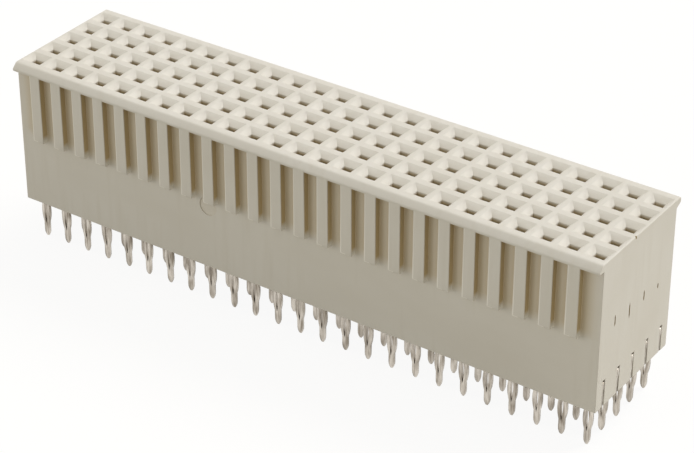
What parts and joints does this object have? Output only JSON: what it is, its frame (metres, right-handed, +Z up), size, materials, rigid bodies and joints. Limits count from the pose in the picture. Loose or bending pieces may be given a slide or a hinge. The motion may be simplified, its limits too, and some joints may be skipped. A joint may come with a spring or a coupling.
{
  "type": "rectangular pin connector",
  "caption": "Straight board-to-board socket connector: an ivory moulded housing with a grid of funnel-shaped pin entries on top and press-fit contact tails underneath.",
  "frame": {"origin": "on the board surface, at the middle of the pattern of press-fit tails (under the middle contact)", "axes": "+X along the long side, +Y across the short side towards the back row, +Z up from the board to the mating face"},
  "size_m": [0.05, 0.011, 0.0154],
  "materials": {
    "housing_plastic": "ivory glass-filled moulding, matt, with a slight sheen",
    "tinned_contact": "copper alloy with a bright tin plating on the tails"
  },
  "bodies": {
    "root": {"housing": "housing_plastic", "contacts_01": "tinned_contact", "contacts_02": "tinned_contact", "contacts_03": "tinned_contact", "contacts_04": "tinned_contact", "contacts_05": "tinned_contact", "contacts_06": "tinned_contact", "contacts_07": "tinned_contact", "contacts_08": "tinned_contact", "contacts_09": "tinned_contact", "contacts_10": "tinned_contact", "contacts_11": "tinned_contact", "contacts_12": "tinned_contact", "contacts_13": "tinned_contact", "contacts_14": "tinned_contact", "contacts_15": "tinned_contact", "contacts_16": "tinned_contact", "contacts_17": "tinned_contact", "contacts_18": "tinned_contact", "contacts_19": "tinned_contact", "contacts_20": "tinned_contact", "contacts_21": "tinned_contact", "contacts_22": "tinned_contact", "contacts_23": "tinned_contact", "contacts_24": "tinned_contact", "contacts_25": "tinned_contact"}
  },
  "joints": []
}
